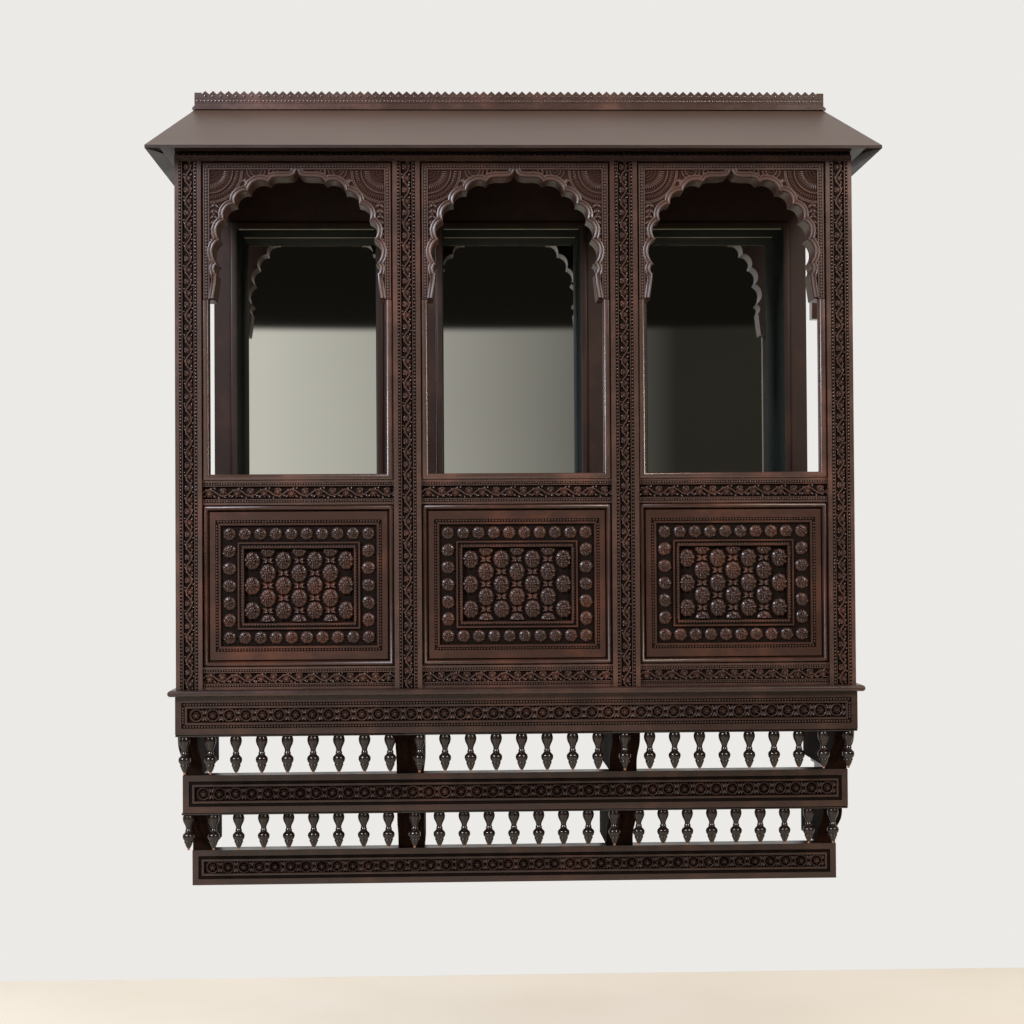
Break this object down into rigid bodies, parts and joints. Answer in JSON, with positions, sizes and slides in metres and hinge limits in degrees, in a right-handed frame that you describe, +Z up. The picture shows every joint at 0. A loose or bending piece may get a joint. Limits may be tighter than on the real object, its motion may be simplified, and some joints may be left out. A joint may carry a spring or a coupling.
{
  "type": "oriel window",
  "caption": "Carved dark timber oriel window with cusped arches, mirrors behind, a sloped roof and stepped tiers with hanging turned pendants, fixed to a wall",
  "frame": {"origin": "on the back of the middle mirror box, on the centre line, 1.3 m above the bottom of the lowest tier", "axes": "+X to the right seen from the room, +Y into the wall, +Z up"},
  "size_m": [1.976, 0.575, 2.2619],
  "materials": {
    "carved_teak": "deeply carved dark teak with a worn polish",
    "red_teak": "dark teak with a reddish worn polish on the flat frames",
    "roof_board": "smooth stained roof boards with a soft sheen",
    "mirror_glass": "silvered plain glass"
  },
  "bodies": {
    "root": {"arch_panel_1": "carved_teak", "arch_panel_2": "carved_teak", "arch_panel_3": "carved_teak", "back_frame": "carved_teak", "bottom_rail_1": "carved_teak", "bottom_rail_2": "carved_teak", "bottom_rail_3": "carved_teak", "ceiling_board": "carved_teak", "console_1_1": "carved_teak", "console_1_2": "carved_teak", "console_1_3": "carved_teak", "console_1_4": "carved_teak", "console_2_1": "carved_teak", "console_2_2": "carved_teak", "console_2_3": "carved_teak", "console_2_4": "carved_teak", "cresting_board": "carved_teak", "header_front": "carved_teak", "header_left": "carved_teak", "header_right": "carved_teak", "ledge_board": "carved_teak", "lower_panel_1": "red_teak", "lower_panel_2": "red_teak", "lower_panel_3": "red_teak", "mirror_1": "mirror_glass", "mirror_2": "mirror_glass", "mirror_3": "mirror_glass", "mirror_box_1": "carved_teak", "mirror_box_2": "carved_teak", "mirror_box_3": "carved_teak", "opening_moulding_1": "carved_teak", "opening_moulding_2": "carved_teak", "opening_moulding_3": "carved_teak", "pendants_1_1": "carved_teak", "pendants_1_2": "carved_teak", "pendants_1_3": "carved_teak", "pendants_2_1": "carved_teak", "pendants_2_2": "carved_teak", "pendants_2_3": "carved_teak", "post_inner_1": "carved_teak", "post_inner_2": "carved_teak", "post_outer_left": "carved_teak", "post_outer_right": "carved_teak", "roof_front": "roof_board", "roof_left": "roof_board", "roof_right": "roof_board", "side_frame_left": "carved_teak", "side_frame_right": "carved_teak", "side_panel_left": "red_teak", "side_panel_right": "red_teak", "sill_rail_1": "carved_teak", "sill_rail_2": "carved_teak", "sill_rail_3": "carved_teak", "soffit_left": "roof_board", "soffit_right": "roof_board", "tier_1": "carved_teak", "tier_2": "carved_teak", "tier_3": "carved_teak"}
  },
  "joints": []
}
